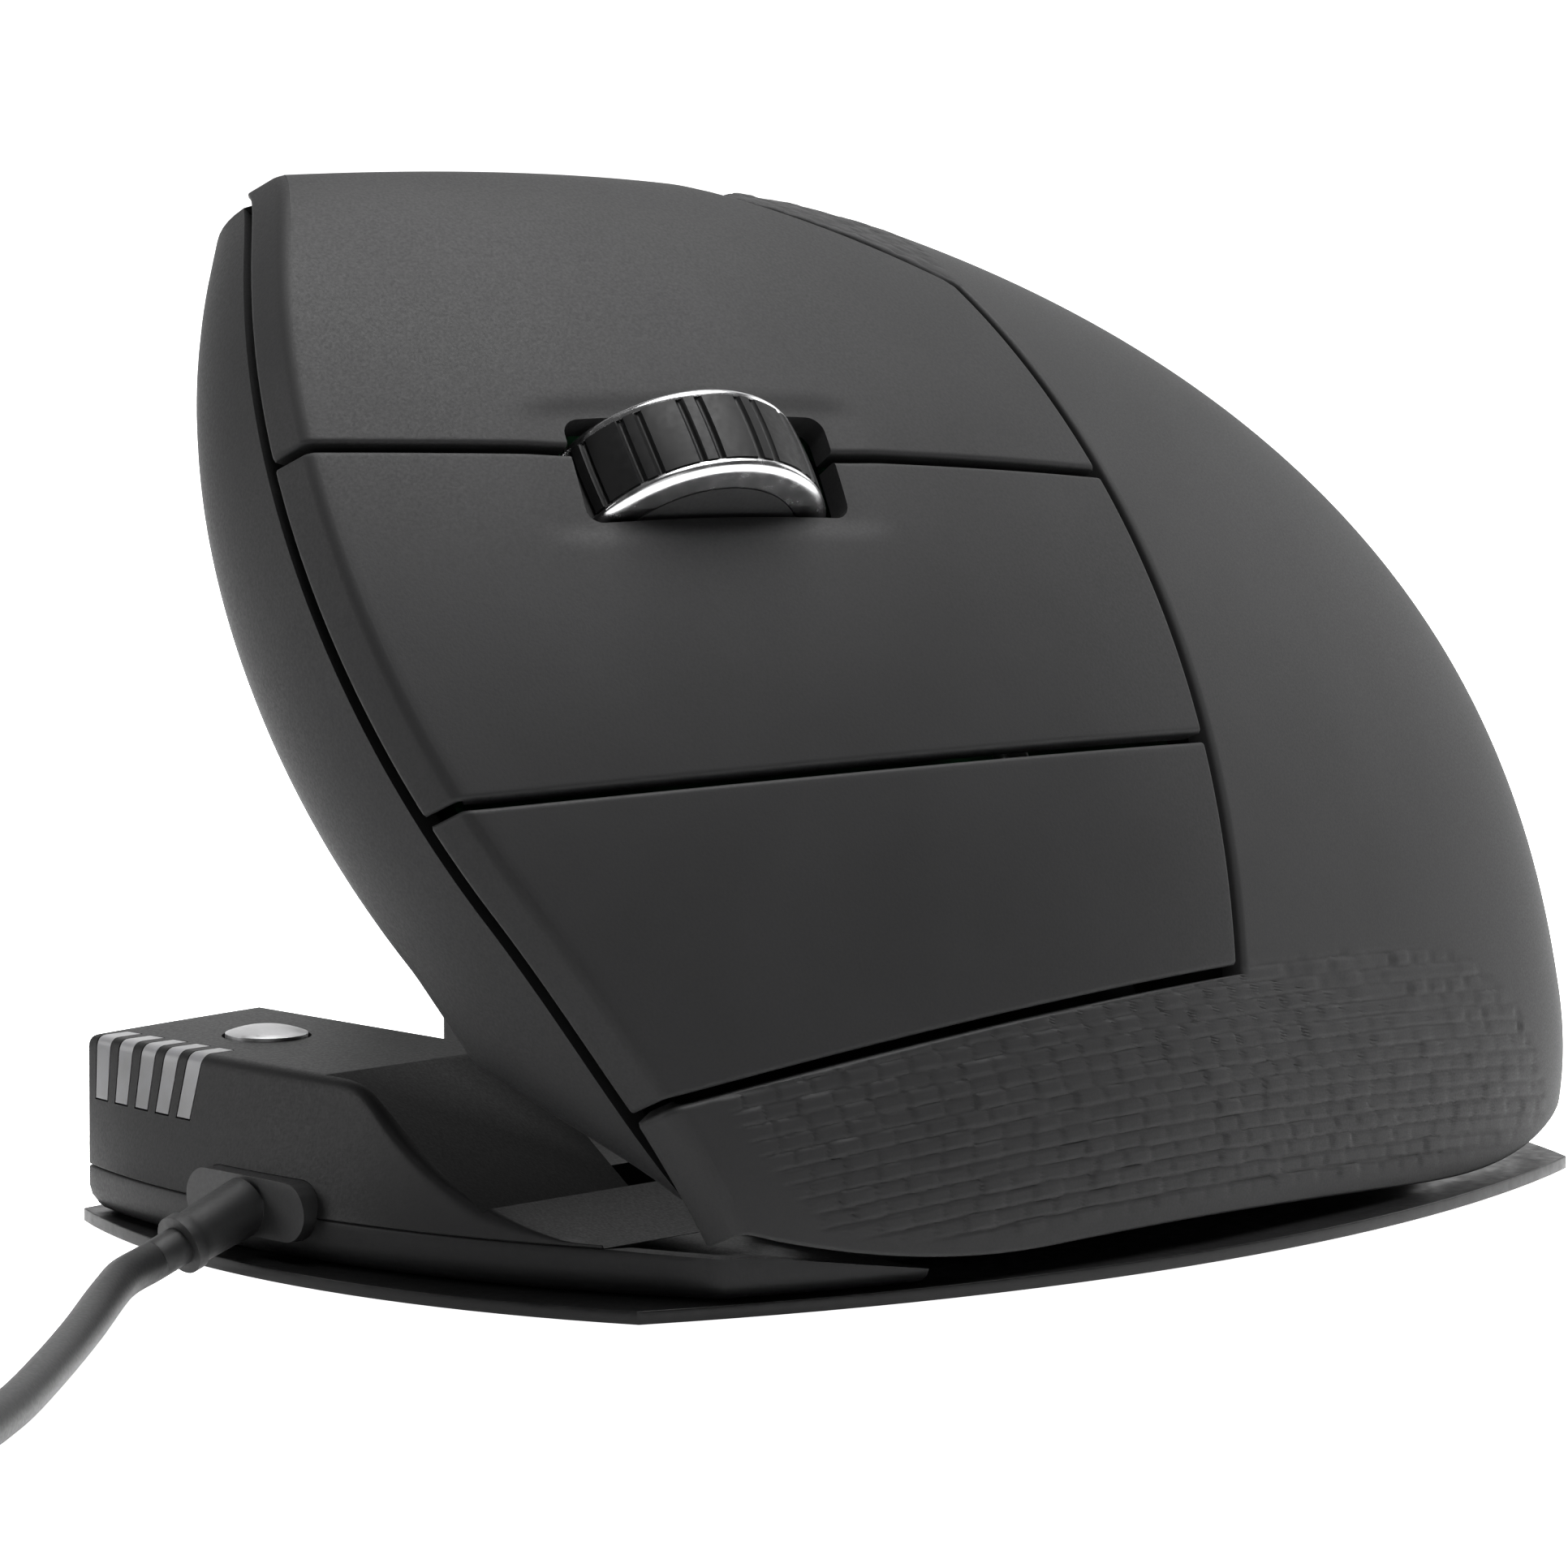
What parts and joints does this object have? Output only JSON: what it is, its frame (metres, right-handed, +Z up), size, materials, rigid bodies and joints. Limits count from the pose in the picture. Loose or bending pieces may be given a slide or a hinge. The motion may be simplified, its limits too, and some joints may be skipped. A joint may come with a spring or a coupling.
{
  "type": "vertical ergonomic mouse",
  "caption": "Left-handed vertical mouse: a tilting hand body with finger keys and scroll wheel on a flat base, with an adjustable thumb rest and a cable.",
  "frame": {"origin": "on the table under the middle of the object, measured without its cable", "axes": "+Y towards the cable end, +Z up, +X to the right, on the thumb side"},
  "size_m": [0.1225, 0.2044, 0.0763],
  "materials": {
    "base_shell": "satin",
    "base_cover": "gloss",
    "glide": "smooth",
    "clear": "translucent",
    "electronics": "matte",
    "board": "satin",
    "bright_button": "silver",
    "steel": "bright",
    "washer": "matte",
    "cable": "matte",
    "soft_touch": "soft touch",
    "back": "satin",
    "keys": "satin",
    "inner_black": "matte",
    "tyre": "glossy",
    "chrome_ring": "polished",
    "thumb_grip": "soft touch",
    "thumb_keys": "satin"
  },
  "bodies": {
    "base": {"bottom_cover": "base_cover", "lower_housing": "base_shell", "upper_housing": "base_shell", "glide_feet": "glide", "sensor_lens": "clear", "sensor_chip": "electronics", "base_board": "board", "dpi_board": "board", "dpi_switch": "electronics", "light_guide": "clear", "base_screws": "steel", "hinge_bracket": "base_shell", "hinge_pin": "steel", "hinge_washers": "washer", "cable_grommet": "cable", "cable_lead": "cable", "cable_coil": "cable", "cable_tie": "cable", "plug_body": "cable", "plug_shell": "steel", "thumb_rail": "base_shell"},
    "resolution_button": {"dpi_button": "bright_button"},
    "hand_body": {"palm_shell": "soft_touch", "back_shell": "back", "body_frame": "inner_black", "body_board": "board", "board_screws": "steel", "key_rod": "steel", "key_switches": "electronics", "wheel_switch": "electronics"},
    "index_button": {"index_key": "keys", "index_lever": "inner_black"},
    "middle_button": {"middle_key": "keys", "middle_lever": "inner_black"},
    "ring_button": {"ring_key": "keys", "ring_lever": "inner_black"},
    "wheel_cradle": {"wheel_carrier": "inner_black", "wheel_encoder": "electronics"},
    "scroll_wheel": {"wheel_hub": "inner_black", "wheel_tyre": "tyre", "wheel_rings": "chrome_ring"},
    "thumb_slide": {"thumb_carriage": "base_shell", "thumb_pin": "steel"},
    "thumb_rest": {"thumb_pad": "thumb_grip", "thumb_cover": "back", "thumb_board": "board", "thumb_switches": "electronics"},
    "forward_button": {"thumb_forward_key": "thumb_keys"},
    "back_button": {"thumb_back_key": "thumb_keys"}
  },
  "joints": [
    {"name": "resolution_press", "type": "slide", "parent": "base", "child": "resolution_button", "axis": [0, 0, -1], "range_m": [0, 0.0005], "stiffness_N_per_m": 3000},
    {"name": "body_tilt", "type": "hinge", "parent": "base", "child": "hand_body", "pos_m": [-0.0277, 0.00083, 0.008], "axis": [0, 1, 0], "range_deg": [0, 30]},
    {"name": "index_press", "type": "hinge", "parent": "hand_body", "child": "index_button", "pos_m": [-0.01952, -0.00417, 0.04098], "axis": [-0.4226, 0, -0.9063], "range_deg": [0, 0.75], "stiffness_Nm_per_rad": 2},
    {"name": "middle_press", "type": "hinge", "parent": "hand_body", "child": "middle_button", "pos_m": [-0.01952, -0.00417, 0.04098], "axis": [-0.4226, 0, -0.9063], "range_deg": [0, 0.75], "stiffness_Nm_per_rad": 2},
    {"name": "ring_press", "type": "hinge", "parent": "hand_body", "child": "ring_button", "pos_m": [-0.01952, -0.00417, 0.04098], "axis": [-0.4226, 0, -0.9063], "range_deg": [0, 0.75], "stiffness_Nm_per_rad": 2},
    {"name": "wheel_press", "type": "slide", "parent": "hand_body", "child": "wheel_cradle", "axis": [0.7342, 0.0642, -0.6759], "range_m": [0, 0.0005], "stiffness_N_per_m": 3000},
    {"name": "wheel_spin", "type": "hinge", "parent": "wheel_cradle", "child": "scroll_wheel", "pos_m": [-0.0185, 0.02473, 0.05264], "axis": [0.6732, -0.1977, 0.7125], "continuous": true},
    {"name": "thumb_reach", "type": "slide", "parent": "base", "child": "thumb_slide", "axis": [1, 0, 0], "range_m": [0, 0.008]},
    {"name": "thumb_tilt", "type": "hinge", "parent": "thumb_slide", "child": "thumb_rest", "pos_m": [0.0258, -0.00217, 0.014], "axis": [0, 1, 0], "range_deg": [-10, 10]},
    {"name": "forward_press", "type": "slide", "parent": "thumb_rest", "child": "forward_button", "axis": [0.9304, 0, -0.3665], "range_m": [0, 0.0005], "stiffness_N_per_m": 2500},
    {"name": "back_press", "type": "slide", "parent": "thumb_rest", "child": "back_button", "axis": [0.9304, 0, -0.3665], "range_m": [0, 0.0005], "stiffness_N_per_m": 2500}
  ]
}
